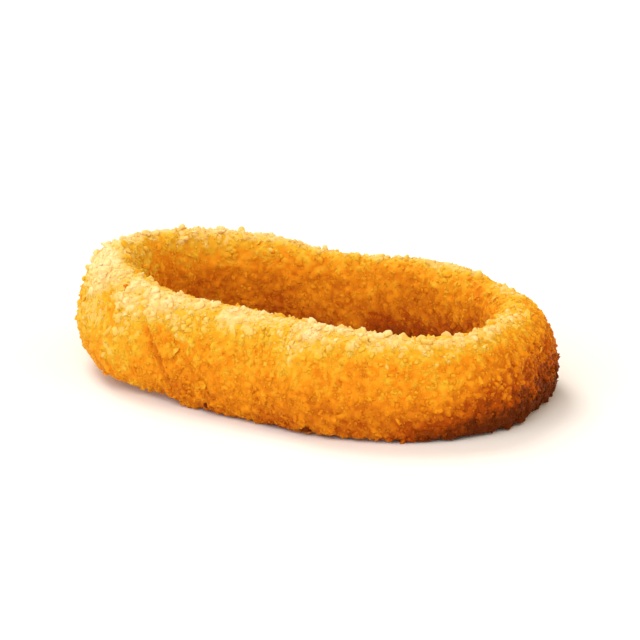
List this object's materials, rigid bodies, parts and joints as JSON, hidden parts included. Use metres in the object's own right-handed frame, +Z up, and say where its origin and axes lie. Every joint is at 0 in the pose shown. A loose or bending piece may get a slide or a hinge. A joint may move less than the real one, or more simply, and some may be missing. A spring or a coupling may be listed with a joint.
{
  "type": "breaded onion ring",
  "caption": "Oval onion ring in a crisp golden breadcrumb coat, lying flat with one end curling slightly up, open through the middle.",
  "frame": {"origin": "under the middle of the ring, on the surface that it lies on", "axes": "+X along the ring's longest way, towards the end that lies flat, so the end that curls up is at -X; +Y across it; +Z up through the hole"},
  "size_m": [0.0792, 0.0554, 0.0185],
  "materials": {
    "crumb_coat": "rough golden fried breadcrumbs with a faint oily sheen"
  },
  "bodies": {
    "root": {"onion_ring": "crumb_coat"}
  },
  "joints": []
}
